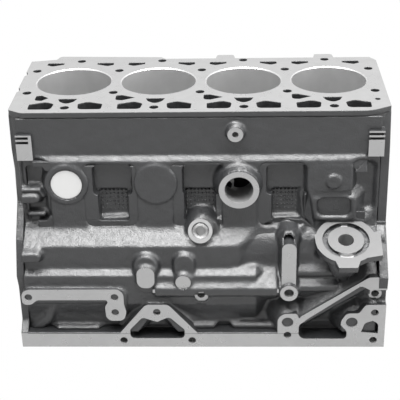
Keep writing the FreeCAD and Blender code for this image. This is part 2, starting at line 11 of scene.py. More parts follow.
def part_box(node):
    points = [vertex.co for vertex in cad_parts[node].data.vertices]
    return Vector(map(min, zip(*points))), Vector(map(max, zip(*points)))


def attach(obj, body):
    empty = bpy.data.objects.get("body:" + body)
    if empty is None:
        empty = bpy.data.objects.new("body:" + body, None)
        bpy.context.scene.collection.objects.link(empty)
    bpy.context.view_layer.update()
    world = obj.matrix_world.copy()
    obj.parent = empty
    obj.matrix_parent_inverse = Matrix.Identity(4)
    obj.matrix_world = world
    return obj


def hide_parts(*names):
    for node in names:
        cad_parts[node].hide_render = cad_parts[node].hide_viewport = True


bl_info = {
    "name": "Engine Block Dresser",
    "version": (1, 0, 0),
    "blender": (4, 5, 0),
    "location": "3D View > Sidebar > Block",
    "description": "Finishes a bare cast-iron engine block and sets its studio",
    "category": "Object",
}

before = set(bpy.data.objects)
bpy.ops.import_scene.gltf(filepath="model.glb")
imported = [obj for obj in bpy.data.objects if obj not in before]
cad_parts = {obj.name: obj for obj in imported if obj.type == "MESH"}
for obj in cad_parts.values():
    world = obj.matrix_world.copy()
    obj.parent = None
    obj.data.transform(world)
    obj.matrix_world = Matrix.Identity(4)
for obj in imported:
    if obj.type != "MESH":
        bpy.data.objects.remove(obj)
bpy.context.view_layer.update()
MM = 0.001
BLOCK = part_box("cylinder_block")
BACK_RAIL_Y = 126.0                      # bank frame, millimetres
BANK_Y = BLOCK[1][1] - BACK_RAIL_Y * MM  # row frame Y of the plane of the bores
CAST, MILLED, BORED, TURNED = range(4)   # the casting's finishes, in the order of its materials
SHARP_ANGLE = math.radians(28)           # the casting's edges are drawn sharp from this angle
MIX_FACTOR, COLOUR_A, COLOUR_B = 0, 6, 7  # sockets of a Mix node set to colour
MIX_COLOUR = 2                           # its colour output

# studio: lamps as size across and along, place, in metres
KEY_LAMP = ((1.9, 1.05), (0.1, -0.4, 1.75))
SIDE_LAMP = ((0.9, 1.3), (1.9, -0.55, 0.8))
LAMP_TARGET = (0, -0.08, 0.15)
FLOOR_HALF = 6.0
FLOOR_MATTE = 0.8
CAMERA_PLACE = (49.809, -1347.987, 816.4)  # bank frame, millimetres
CAMERA_ANGLES = (26.72, -2.323, -1.306)    # degrees: down, left, roll
CAMERA_LENS = 97.56
CAMERA_SENSOR = 36.0


def bank(x, y, z):
    """A point given in the bank frame in millimetres, in the row frame in metres."""
    return Vector((x * MM, y * MM + BANK_Y, z * MM))


# ------------------------------------------------------------------ settings
class BlockFinish(bpy.types.PropertyGroup):
    iron: bpy.props.FloatVectorProperty(
        name="Iron skin", description="Colour of the as-cast surface", subtype="COLOR",
        default=(0.016, 0.0165, 0.0175), min=0, max=1)
    iron_rough: bpy.props.FloatProperty(
        name="Skin roughness", description="Roughness of the as-cast surface", default=0.36,
        min=0, max=1, subtype="FACTOR")
    milled: bpy.props.FloatVectorProperty(
        name="Milled iron", description="Colour of the milled faces", subtype="COLOR",
        default=(0.37, 0.37, 0.37), min=0, max=1)
    bored: bpy.props.FloatVectorProperty(
        name="Bored iron", description="Colour inside bores and drilled holes",
        subtype="COLOR", default=(0.47, 0.47, 0.47), min=0, max=1)
    steel: bpy.props.FloatVectorProperty(
        name="Plug steel", description="Colour of the pressed plugs", subtype="COLOR",
        default=(0.58, 0.58, 0.575), min=0, max=1)
    grain: bpy.props.FloatProperty(
        name="Sand grain", description="Size of the casting's sand grain", default=0.0016,
        min=0.0003, max=0.01, unit="LENGTH")
    skin_step: bpy.props.FloatProperty(
        name="Skin step", description="Spacing of the cast skin's points", default=0.00175,
        min=0.001, max=0.01, unit="LENGTH")
    # painted shade: the turned seat is the milled iron made darker, so its tilted face catches less of
    # the key lamp
    turned: bpy.props.FloatVectorProperty(
        name="Turned seat", description="Colour of the turned filter seat", subtype="COLOR",
        default=(0.115, 0.115, 0.115), min=0, max=1)
    edge: bpy.props.FloatProperty(
        name="Cast edge", description="Radius of the casting's rounded edges", default=0.0022,
        min=0, max=0.01, unit="LENGTH")


class BlockPanels(bpy.types.PropertyGroup):
    pitch: bpy.props.FloatProperty(
        name="Diamond pitch", description="Spacing of the raised diamonds", default=0.0046,
        min=0.002, max=0.02, unit="LENGTH")
    height: bpy.props.FloatProperty(
        name="Diamond height", description="Height of the raised diamonds", default=0.0024,
        min=0.0002, max=0.005, unit="LENGTH")


class BlockStudio(bpy.types.PropertyGroup):
    key: bpy.props.FloatProperty(
        name="Key light", description="Power of the overhead soft light", default=118.0,
        min=0, max=500)
    side: bpy.props.FloatProperty(
        name="Side light", description="Power of the soft light at the flywheel end",
        default=22.0, min=0, max=500)
    fill: bpy.props.FloatProperty(
        name="Fill", description="Strength of the light from all round", default=0.15,
        min=0, max=5)
    floor: bpy.props.FloatVectorProperty(
        name="Floor", description="Colour of floor and background", subtype="COLOR",
        default=(1.0, 1.0, 1.0), min=0, max=1)


# ------------------------------------------------------------------ material helpers
def material(name, colour, rough, metallic=0.0, specular=0.5):
    """A material with its shader; returns the material, its tree and the shader node."""
    mat = bpy.data.materials.new(name)
    mat.use_nodes = True
    tree = mat.node_tree
    shader = tree.nodes["Principled BSDF"]
    shader.inputs["Base Color"].default_value = (*colour, 1)
    shader.inputs["Roughness"].default_value = rough
    shader.inputs["Metallic"].default_value = metallic
    shader.inputs["Specular IOR Level"].default_value = specular
    return mat, tree, shader


def add(tree, kind, **values):
    """A new node of the tree with some of its own settings."""
    node = tree.nodes.new(kind)
    for key, value in values.items():
        setattr(node, key, value)
    return node


def noise(tree, size, detail=3.0, stretch=None):
    """Noise on Object coordinates whose features are about size metres across."""
    where = add(tree, "ShaderNodeTexCoord").outputs["Object"]
    if stretch:
        mapping = add(tree, "ShaderNodeMapping")
        mapping.inputs["Scale"].default_value = stretch
        tree.links.new(where, mapping.inputs["Vector"])
        where = mapping.outputs["Vector"]
    node = add(tree, "ShaderNodeTexNoise")
    node.inputs["Scale"].default_value = 1.0 / size
    node.inputs["Detail"].default_value = detail
    tree.links.new(where, node.inputs["Vector"])
    return node.outputs["Fac"]


def ramp(tree, source, low, high, start=0.3, end=0.7):
    """Maps source from start..end, where noise mostly lies, to low..high."""
    node = add(tree, "ShaderNodeMapRange")
    node.inputs["From Min"].default_value = start
    node.inputs["From Max"].default_value = end
    node.inputs["To Min"].default_value = low
    node.inputs["To Max"].default_value = high
    tree.links.new(source, node.inputs["Value"])
    return node.outputs["Result"]


def bump(tree, height, strength, distance, normal=None):
    """A normal disturbed by height, over the given normal or the surface's own."""
    node = add(tree, "ShaderNodeBump")
    node.inputs["Strength"].default_value = strength
    node.inputs["Distance"].default_value = distance
    tree.links.new(height, node.inputs["Height"])
    if normal:
        tree.links.new(normal, node.inputs["Normal"])
    return node.outputs["Normal"]


def tint(tree, shader, colour, source, low, high):
    """Base colour that wanders between two shades of one colour."""
    mix = add(tree, "ShaderNodeMix", data_type="RGBA")
    mix.inputs[COLOUR_A].default_value = (*[c * low for c in colour], 1)
    mix.inputs[COLOUR_B].default_value = (*[min(c * high, 1) for c in colour], 1)
    tree.links.new(source, mix.inputs[MIX_FACTOR])
    tree.links.new(mix.outputs[MIX_COLOUR], shader.inputs["Base Color"])


def cast_iron(finish):
    """Sand-cast skin: fine grain, low lumps, rounded edges, a dull sheen."""
    mat, tree, shader = material("cast_iron_skin", finish.iron, finish.iron_rough,
                                  specular=0.7)
    edge = add(tree, "ShaderNodeBevel", samples=6)
    edge.inputs["Radius"].default_value = finish.edge
    lumps = bump(tree, noise(tree, finish.grain * 7, detail=2), strength=0.55,
                 distance=0.0014, normal=edge.outputs["Normal"])
    grain = bump(tree, noise(tree, finish.grain, detail=4), strength=0.8, distance=0.0007,
                 normal=lumps)
    tree.links.new(grain, shader.inputs["Normal"])
    rough = ramp(tree, noise(tree, finish.grain * 3), low=finish.iron_rough - 0.07,
                 high=finish.iron_rough + 0.1)
    tree.links.new(rough, shader.inputs["Roughness"])
    tint(tree, shader, finish.iron, noise(tree, finish.grain * 10, detail=4), low=0.75,
         high=1.3)
    return mat


def milled_iron(finish):
    """Milled face: pale, with shallow cutter marks and a few dull stains."""
    mat, tree, shader = material("milled_iron", finish.milled, rough=0.31, metallic=0.8)
    marks = noise(tree, size=0.0009, detail=2, stretch=(0.25, 1.0, 1.0))
    tree.links.new(bump(tree, marks, strength=0.12, distance=0.0002), shader.inputs["Normal"])
    stains = ramp(tree, noise(tree, size=0.01, detail=4), low=0.26, high=0.36)
    tree.links.new(stains, shader.inputs["Roughness"])
    tint(tree, shader, finish.milled, noise(tree, size=0.012, detail=5), low=0.93, high=1.06)
    return mat


def turned_iron_painted_shade(finish):
    """Turned filter seat: fine rings, and a base colour darker than the milled faces as painted shade
    that tones down the key lamp's reflection on the tilted seat.
    """
    mat, tree, shader = material("turned_iron_painted_shade", finish.turned, rough=0.5, metallic=0.35,
                                  specular=0.4)
    marks = noise(tree, size=0.0009, detail=2)
    tree.links.new(bump(tree, marks, strength=0.12, distance=0.0002), shader.inputs["Normal"])
    tint(tree, shader, finish.turned, noise(tree, size=0.012, detail=5), low=0.95, high=1.05)
    return mat


def bored_iron(finish):
    """Bored and drilled walls: fine rings along the tool's path."""
    mat, tree, shader = material("bored_iron", finish.bored, rough=0.38, metallic=0.7)
    rings = noise(tree, size=0.0012, detail=2, stretch=(0.2, 0.2, 1.0))
    tree.links.new(bump(tree, rings, strength=0.15, distance=0.0002), shader.inputs["Normal"])
    tint(tree, shader, finish.bored, noise(tree, size=0.02, detail=4), low=0.9, high=1.1)
    return mat


def metal(name, colour, rough, metallic=0.9):
    """Plain steel or brass of a small part, with faint handling marks."""
    mat, tree, shader = material(name, colour, rough, metallic)
    marks = noise(tree, size=0.002)
    tree.links.new(bump(tree, marks, strength=0.1, distance=0.0002), shader.inputs["Normal"])
    wear = ramp(tree, noise(tree, size=0.006), low=rough - 0.05, high=rough + 0.08)
    tree.links.new(wear, shader.inputs["Roughness"])
    return mat


# ------------------------------------------------------------------ where the casting is machined
END_FACE_X = 238.2       # bank frame, millimetres, like all places in this section
SIDE_FACE_Y = -158
SEAT_TILT = math.radians(19)
SENDER_TILT = math.radians(27)
FULL_LENGTH = (-240, 240)
FLAT_CUTS = (
    # normal, a point on the face in the bank frame, limits of x, finish
    ((0, 0, 1), (0, 0, 314), FULL_LENGTH, MILLED),                       # deck
    ((0, 0, -1), (0, 0, 0), FULL_LENGTH, MILLED),                        # pan rail
    ((0, -1, 0), (0, SIDE_FACE_Y, 0), FULL_LENGTH, MILLED),              # pads of the camshaft side
    ((1, 0, 0), (END_FACE_X, 0, 0), (200, 240), MILLED),
    ((-1, 0, 0), (-END_FACE_X, 0, 0), (-240, -200), MILLED),
    ((0, -math.sin(SEAT_TILT), math.cos(SEAT_TILT)), (184, -146, 153.6), (140, 232), TURNED),
    ((0, -math.cos(SENDER_TILT), math.sin(SENDER_TILT)), (0, -135, 161), (-16, 16), MILLED),
    ((0, -1, 0), (49.5, -133, 217), (20, 80), MILLED),                   # core port
    ((0, -1, 0), (45.3, -120, 287), (34, 56), MILLED),                   # pipe boss
    ((0, -1, 0), (112, -154, 120), (100, 125), MILLED),                  # strip pad
    ((0, -1, 0), (219, -113.5, 265), (209, 231), MILLED),                # corner pads
    ((0, -1, 0), (-219, -113.5, 265), (-231, -208), MILLED),
    ((0, -1, 0), (0, -151, 75.5), (-11, 11), MILLED),                    # oil way bosses
    ((0, -1, 0), (224, -149, 76.5), (214, 234), MILLED),
)
CUT_FACING = 0.999       # least cosine between a face and the cut that it lies on
CUT_NEAR = 0.2           # greatest distance between the two
BORE_XS = (-168, -56, 56, 168)
BORE_R = 51.1            # radii with a little room
BORE_LOW_Z = 150
CRANK_Z = 66
CRANK_R = 36.2
DRILLED_BEFORE_Y = -60
DRILLED = (
    # drilled holes of the camshaft side: x, z, radius with a little room
    (-224, 76.5, 5.4), (-112, 76.5, 5.4), (0, 76.5, 5.4), (224, 76.5, 5.4), (-112.3, 53.5, 5.4),
    (-58, 53.8, 5.4), (-103, 10, 5.4), (-13, 10, 5.4), (112, 18.4, 5.4), (224, 52.7, 5.4),
    (223.8, 10.5, 5.4), (111.8, 37.8, 8.0), (195, 37.8, 8.0), (45.3, 287.2, 4.4),
    (113, 82, 6.7), (49.5, 216.3, 18.6), (0, 155, 12.5), (184, 148, 11.0),
)


def cut_finish(centre, normal):
    """The finish of the flat cut that a face lies on, or CAST when it lies on none."""
    for axis, point, (low_x, high_x), finish in FLAT_CUTS:
        axis = Vector(axis)
        off = abs((centre - bank(*point)).dot(axis))
        if normal.dot(axis) > CUT_FACING and off < CUT_NEAR * MM:
            if low_x * MM <= centre.x <= high_x * MM:
                return finish
    return CAST


def is_bored(centre):
    """Whether a face's middle lies on a cylinder bore, a drilled hole or the crank tunnel."""
    x = centre.x / MM
    y = (centre.y - BANK_Y) / MM
    z = centre.z / MM
    if z > BORE_LOW_Z and any(math.hypot(x - bore_x, y) < BORE_R for bore_x in BORE_XS):
        return True
    if y < DRILLED_BEFORE_Y and any(math.hypot(x - hole_x, z - hole_z) < radius
                                    for hole_x, hole_z, radius in DRILLED):
        return True
    return math.hypot(y, z - CRANK_Z) < CRANK_R


# ------------------------------------------------------------------ the cast skin, camshaft side
# depth is the distance in front of the plane of the bores; the skin is a sheet of depth over x and z,
# all in millimetres
SKIN_X = (-229.0, 227.0)
SKIN_Z = (22.5, 306.0)
GRID_SLACK = 0.01    # keeps the grid's last row when the step fits exactly
SKIN_WALL = 0.0016   # thickness of the sheet, metres
SEAT_TOP_Z = 305     # the casting's own front is seated under the skin up to here,
SEAT_FROM = 96       # from this depth on,
SEAT_REACH = 7       # where the two lie this close,
SEAT_GAP = 1.2       # and ends this far below it


def blend_up(a, b, k):
    """The larger of two depths, with a fillet of about k between them."""
    return 0.5 * (a + b + np.sqrt((a - b) ** 2 + k * k))


def blend_down(a, b, k):
    """The smaller of two depths, with a fillet of about k between them."""
    return 0.5 * (a + b - np.sqrt((a - b) ** 2 + k * k))


def profile(t, *points):
    """Depth along one direction by straight runs between points (place, depth)."""
    return np.interp(t, [p[0] for p in points], [p[1] for p in points])


def pane(x, z, x0, x1, z0, z1, r):
    """Signed distance from a rectangle with round corners."""
    qx = np.abs(x - (x0 + x1) / 2) - (x1 - x0) / 2 + r
    qz = np.abs(z - (z0 + z1) / 2) - (z1 - z0) / 2 + r
    return np.hypot(np.maximum(qx, 0), np.maximum(qz, 0)) + np.minimum(np.maximum(qx, qz), 0) - r


def disc(x, z, cx, cz, r):
    """Signed distance from a circle."""
    return np.hypot(x - cx, z - cz) - r


def path(x, z, points, r):
    """Signed distance from a line of given half width through points."""
    best = None
    for (ax, az), (bx, bz) in zip(points[:-1], points[1:]):
        dx, dz = bx - ax, bz - az
        t = np.clip(((x - ax) * dx + (z - az) * dz) / (dx * dx + dz * dz), 0, 1)
        d = np.hypot(x - ax - t * dx, z - az - t * dz)
        best = d if best is None else np.minimum(best, d)
    return best - r


def raised(depth, dist, top, slope, k):
    """Adds a raised form whose sides fall by slope outside dist = 0."""
    return blend_up(depth, top - slope * np.maximum(dist, 0), k)


def sunk(depth, dist, floor, slope, k):
    """Sinks a form whose sides rise by slope outside dist = 0."""
    return blend_down(depth, floor + slope * np.maximum(dist, 0), k)


def shaped(depth, x, z, forms):
    """Works a table's forms into the depth, one after another."""
    for work, outline, sizes, level, slope, k in forms:
        depth = work(depth, outline(x, z, *sizes), level, slope, k)
    return depth


def fading(x, z, runs, limits, slope):
    """A profile over z that falls off by slope outside limits."""
    return profile(z, *runs) - slope * np.maximum(pane(x, z, *limits, 0), 0)


# profiles over z (over x for the sweep): place, depth
SIDE_DEPTH = 108.4
BEAD_HALF_X = 210
WALL = ((150, 115.4), (249.3, 115.4), (255.8, SIDE_DEPTH), (306, SIDE_DEPTH))
BEAD = ((245.5, 60), (247.6, 115.4), (249.3, 115.4), (251.0, 112.4), (252.7, 112.4),
        (255.8, SIDE_DEPTH), (258, 60))
GALLERY_SWEEP = ((20, 150), (48, 141), (78, 112), (110, 104), (230, 100))
GALLERY_ROOF = ((20, 140.4), (139, 140.4), (141, 139.6), (156.5, 115.0), (160, 98), (306, -20))
TUNNEL = ((20, 128.4), (60, 128.4), (100, 130.6), (126, 130.6), (143, 124), (156, 112),
          (166, 96), (306, -20))
LEDGE = ((20, 128.4), (62, 150.2), (103.5, 150.2), (109.5, 140), (118, 118), (306, -90))
LEDGE_END_X = 70
TOE = ((20, 110), (56, 128), (80, 158.7), (89, 158.7), (96.3, 150), (103, 138), (306, -90))
BROW = ((20, 100), (60, 128), (82, 150.4), (88, 150.4), (92, 141), (95.5, 137), (98, 141.4),
        (103, 141.4), (110, 134), (122, 122), (140, 96), (306, -90))
LOW_WALL = ((20, 148), (27.5, 148), (31, 133), (60, 128), (306, -90))
LOW_SHELF = ((20, 150), (24, 150), (29, 134), (306, -90))
OIL_RIB_Z, OIL_RIB_R, OIL_RIB_DEPTH, OIL_RIB_FROM_X = 76.5, 12, 132, 60

# forms: how worked, outline, its sizes, depth, slope of the sides, fillet
# sizes of a pane: x from, to, z from, to, corner; of a disc: x, z, radius; of a path: points, half width


def field(x0, x1, panel_x0, panel_x1):
    """A sunk field between two columns, its deeper panel and the low ridge below that."""
    ridge = ((panel_x0 + 2, 165), (panel_x1 - 2, 166))
    return ((sunk, pane, (x0, x1, 162, 242, 6), 104.0, 2.2, 1.6),
            (sunk, pane, (panel_x0, panel_x1, 169, 205, 2), 98.6, 3.0, 0.8),
            (raised, path, (ridge, 0.7), 107.5, 2.4, 1.0))


def column(x, z, radius, top, slope, half=21.5):
    """A column of the water jacket with its core boss."""
    return ((raised, pane, (x - half, x + half, 156, 214, 3), 115.4, 2.6, 1.4),
            (raised, disc, (x, z, radius), top, slope, 1.6))


FIELDS = field(-143, -86, -129, -94) + field(-32, 27, -19.5, 18) + field(79, 131, 92, 129)
UPPER_FORMS = (
    (sunk, pane, (-222, -203, 214, 243, 5), 99.4, 1.1, 2.2),
    (sunk, pane, (-222, -201, 160, 206, 5), 101.0, 1.1, 2.2),
    (sunk, pane, (200, 219, 180, 240, 5), 101.0, 1.1, 2.2),
    *column(-169.5, 218.7, 26.9, 117.6, 2.6),
    *column(-56, 218.7, 26.9, 117.6, 2.6),
    *column(49.5, 217.5, 25.2, 131.8, 6.0),
    (raised, disc, (49.5, 217.5, 28.5), 119, 3.0, 2.0),          # foot of the core port
    (raised, disc, (45.3, 287.2, 10.2), 119.4, 4.0, 1.2),        # pipe boss
    (raised, pane, (143, 192, 208, 243, 3), 115.4, 2.6, 1.4),    # web at the flywheel end
    (raised, disc, (168.8, 221.5, 9.2), 120.0, 4.0, 0.8),
    (raised, pane, (139, 196, 168, 198, 2), 118.0, 1.2, 1.2),    # plate above the filter seat
    (sunk, pane, (153, 187, 176, 194, 4), 106.5, 2.4, 1.0),
    (sunk, path, (((129, 208), (133, 196), (144, 132)), 2.6), 104.5, 2.4, 1.2),
)
BOSS_FORMS = (
    (raised, path, (((-70.5, 95), (-70.5, 117)), 14.5), 151, 3.2, 3.2),
    (raised, path, (((-21.5, 96), (-21.5, 120)), 12.5), 149, 3.2, 3.2),
    (raised, path, (((0.5, 74), (0.5, 84)), 10.5), 151, 3.2, 3.2),
    (raised, disc, (-22.5, 98.5, 9.9), 157.5, 2.8, 1.6),
    (raised, disc, (0, 75.5, 10.4), 150.4, 2.8, 1.6),
    (raised, disc, (113, 82, 11.3), 157.4, 2.8, 1.6),
    (raised, disc, (223.6, 76.5, 9.0), 148.6, 2.8, 1.6),
    (raised, pane, (-81.9, -59.1, 90.2, 120.5, 10), 157.5, 2.8, 1.6),
    (raised, disc, (1.8, 156, 20.5), 125, 5.0, 3.5),             # foot of the sender boss
)
SENDER_DISC = (0.3, 160.0, 14.4)
SENDER_TOP, SENDER_FALL, SENDER_Z = 134.6, 0.51, 161
PADS = (
    # outlines of the machined pads: corner points of the middle of each run, and half width
    (((-222.2, 76.5), (-107, 76.5), (-110, 54)), 9.5),
    (((-100, 10), (-66, 58), (-49, 58), (-15, 10)), 6.0),
    (((132, 42), (216, 99), (236, 97)), 6.5),
    (((112, 20), (112, 38)), 13.0),
    (((196, 14), (196, 36)), 13.0),
    (((224, 14), (224, 54)), 12.0),
)
STRIP_FORMS = (
    (raised, pane, (104, 121.4, 88, 150, 5), 153.2, 5.0, 2.0),
    (raised, disc, (112.5, 144, 16.0), 126, 5.0, 1.8),
    (raised, disc, (112.5, 149.5, 8.0), 141, 6.0, 1.2),
    (sunk, disc, (112.5, 151.5, 4.6), 128, 8, 0.6),
    *((raised, path, pad, 155.5, 1.7, 2.6) for pad in PADS),     # their drafted sides
)
LOW_FORMS = (
    (raised, path, (((-236, 6), (-203, 36), (-196, 56)), 3.5), 147, 1.3, 2.5),
    (raised, path, (((-37.5, 56), (-10, 27.6)), 2.0), 142, 1.3, 2.0),
    (sunk, pane, (21, 36, 20, 27, 2), 139, 2.0, 1.5),
    (raised, path, (((-232, 197.5), (-212, 197.5)), 5.0), 118, 2.8, 1.4),  # timing-end lugs
    (raised, path, (((-232, 130.5), (-211, 130.5)), 5.5), 152, 2.8, 1.4),
    (raised, path, (((-232, 208), (-206, 209), (-201, 201)), 1.6), 114, 2.8, 1.4),
    (raised, path, (((-221, 174), (-203, 174)), 2.0), 113, 2.8, 1.4),
    (sunk, pane, (150, 226, 121, 160, 4), 127, 1.4, 2.0),        # the wall behind the filter seat
)
SKIN_HOLES = (
    # round openings: x, z, radius
    (-169.5, 218.7, 20.6), (49.5, 217.5, 24.4), (45.3, 287.2, 9.0), (-22.5, 98.5, 9.0),
    (0, 75.5, 9.6), (113, 82, 10.6), (224, 76.5, 7.6), (0.3, 160, 13.6),
)


def oil_rib(x, z):
    """Depth of the half-round rib over the oil way, towards the flywheel end."""
    off = z - OIL_RIB_Z
    rib = OIL_RIB_DEPTH + np.sqrt(np.maximum(OIL_RIB_R ** 2 - off ** 2, 0))
    rib = rib - 2.5 * np.maximum(np.abs(off) - OIL_RIB_R, 0)
    return np.where(x > OIL_RIB_FROM_X, rib, 0)


def sand(x, z):
    """Low waves of the sand mould, depth in millimetres."""
    long = np.sin(x * 0.21 + 1.3 * np.sin(z * 0.17)) * np.sin(z * 0.24 + 1.1 * np.sin(x * 0.13))
    short = np.sin(x * 0.55 + z * 0.31) * np.sin(z * 0.62 - x * 0.2)
    return 0.22 * (long + 0.5 * short)


def skin_depth(x, z):
    """Depth of the cast surface at x and z, both in millimetres."""
    within = np.abs(x) < BEAD_HALF_X
    depth = np.where(within, profile(z, *WALL), SIDE_DEPTH)
    depth = shaped(depth, x, z, FIELDS)
    depth = np.where(within, np.maximum(depth, profile(z, *BEAD)), depth)
    depth = shaped(depth, x, z, UPPER_FORMS)
    gallery = blend_down(profile(z, *GALLERY_ROOF), profile(x, *GALLERY_SWEEP), 8)
    depth = blend_up(depth, gallery, 6.5)
    depth = blend_up(depth, profile(z, *TUNNEL), 5)
    ledge = profile(z, *LEDGE)
    ledge = np.where(x < LEDGE_END_X, ledge, ledge - (x - LEDGE_END_X) * 1.2)
    depth = blend_up(depth, ledge, 2.6)
    depth = blend_up(depth, fading(x, z, TOE, (-58, 97, 20, 110), 1.4), 2.4)
    depth = blend_up(depth, fading(x, z, BROW, (124, 174, 20, 200), 1.6), 2.2)
    depth = blend_up(depth, oil_rib(x, z), 3.0)
    depth = shaped(depth, x, z, BOSS_FORMS)
    sender = SENDER_TOP - SENDER_FALL * (z - SENDER_Z)
    depth = raised(depth, disc(x, z, *SENDER_DISC), sender, 5.0, 1.6)
    depth = shaped(depth, x, z, STRIP_FORMS)
    depth = blend_up(depth, fading(x, z, LOW_WALL, (-14, 94, 10, 34), 1.2), 2.6)
    depth = blend_up(depth, fading(x, z, LOW_SHELF, (-191, -137, 10, 40), 1.2), 2.4)
    depth = shaped(depth, x, z, LOW_FORMS)
    return depth + sand(x, z)


class BLOCK_OT_casting(bpy.types.Operator):
    """Gives the casting its cast skin, milled faces and bored walls"""
    bl_idname = "block.casting"
    bl_label = "Finish casting"

    def execute(self, context):
        finish = context.scene.block_finish
        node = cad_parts["cylinder_block"]
        work = bmesh.new()
        work.from_mesh(node.data)
        bmesh.ops.remove_doubles(work, verts=work.verts, dist=0.000002)
        work.normal_update()
        for face in work.faces:
            centre = face.calc_center_median()
            face.smooth = True
            finish_index = cut_finish(centre, face.normal)
            if finish_index == CAST and is_bored(centre):
                finish_index = BORED
            face.material_index = finish_index
        for edge in work.edges:
            faces = edge.link_faces
            if len(faces) != 2 or faces[0].material_index != faces[1].material_index:
                edge.smooth = False
            elif edge.calc_face_angle(0) > SHARP_ANGLE:
                edge.smooth = False
        self.seat_under_skin(work)
        mesh = bpy.data.meshes.new("casting")
        work.to_mesh(mesh)
        work.free()
        piece = bpy.data.objects.new("casting", mesh)
        context.scene.collection.objects.link(piece)
        for mat in (cast_iron(finish), milled_iron(finish), bored_iron(finish),
                    turned_iron_painted_shade(finish)):
            mesh.materials.append(mat)
        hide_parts("cylinder_block")
        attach(piece, "root")
        return {"FINISHED"}

    def seat_under_skin(self, work):
        """Moves the plain cast front a little inwards, so the blended skin lies over it."""
        loose = [v for v in work.verts
                 if SKIN_X[0] < v.co.x / MM < SKIN_X[1]
                 and SKIN_Z[0] < v.co.z / MM < SEAT_TOP_Z
                 and all(f.material_index == CAST for f in v.link_faces)]
        place = np.array([v.co[:] for v in loose]) / MM
        depth = BANK_Y / MM - place[:, 1]
        skin = skin_depth(place[:, 0], place[:, 2])
        for v, own, over in zip(loose, depth, skin):
            if own > SEAT_FROM and abs(own - over) < SEAT_REACH and own > over - SEAT_GAP:
                v.co.y += (own - over + SEAT_GAP) * MM


class BLOCK_OT_fittings(bpy.types.Operator):
    """Gives caps, bolts, plugs and dowels their metals"""
    bl_idname = "block.fittings"
    bl_label = "Finish fittings"

    def execute(self, context):
        finish = context.scene.block_finish
        metals = {
            "main_cap_bolts": metal("black_bolt", (0.05, 0.05, 0.052), 0.45),
            "main_cap": cast_iron(finish),
            "dowel": metal("ground_steel", (0.62, 0.62, 0.63), 0.3),
            "drain_plug": metal("plug_brass", (0.62, 0.47, 0.22), 0.4),
            "gallery_plug": metal("black_plug", (0.09, 0.09, 0.092), 0.45),
            "_plug": metal("bright_plug", finish.steel, 0.35, 0.6),
        }
        for name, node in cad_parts.items():
            if name == "cylinder_block":
                continue
            found = next((m for key, m in metals.items() if key in name), None)
            if found is None:
                raise RuntimeError("no metal for " + name)
            for slot in node.material_slots:
                slot.material = found
        return {"FINISHED"}


class BLOCK_OT_skin(bpy.types.Operator):
    """Lays the blended as-cast surface over the camshaft side"""
    bl_idname = "block.skin"
    bl_label = "Lay cast skin"

    def execute(self, context):
        step = context.scene.block_finish.skin_step / MM
        xs = np.arange(SKIN_X[0], SKIN_X[1] + GRID_SLACK, step)
        zs = np.arange(SKIN_Z[0], SKIN_Z[1] + GRID_SLACK, step)
        x, z = np.meshgrid(xs, zs)
        depth = skin_depth(x, z)
        points = np.stack([x * MM, -depth * MM + BANK_Y, z * MM], axis=-1).reshape(-1, 3)
        index = np.arange(points.shape[0]).reshape(x.shape)
        faces = np.stack([index[:-1, :-1], index[:-1, 1:], index[1:, 1:], index[1:, :-1]], axis=-1)
        cx = (x[:-1, :-1] + x[1:, 1:]) / 2
        cz = (z[:-1, :-1] + z[1:, 1:]) / 2
        keep = np.ones(cx.shape, bool)
        for hx, hz, r in SKIN_HOLES:
            keep &= np.hypot(cx - hx, cz - hz) > r
        faces = faces[keep]
        mesh = bpy.data.meshes.new("cast_skin")
        mesh.from_pydata(points.tolist(), [], faces.tolist())
        work = bmesh.new()
        work.from_mesh(mesh)
        loose = [v for v in work.verts if not v.link_faces]
        bmesh.ops.delete(work, geom=loose, context="VERTS")
        for face in work.faces:
            face.smooth = True
        work.to_mesh(mesh)
        work.free()
        piece = bpy.data.objects.new("cast_skin", mesh)
        context.scene.collection.objects.link(piece)
        mesh.materials.append(bpy.data.materials["cast_iron_skin"])
        wall = piece.modifiers.new("wall", "SOLIDIFY")
        wall.thickness = SKIN_WALL
        wall.offset = -1
        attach(piece, "root")
        return {"FINISHED"}


DIAMOND_PANELS = ((-127, -96), (-17, 16), (94, 127))  # limits of x, millimetres
DIAMOND_Z = (171, 203)
DIAMOND_DEPTH = 98.8
DIAMOND_FOOT = 0.5   # radii of a diamond's foot and top, of its pitch
DIAMOND_TOP = 0.12


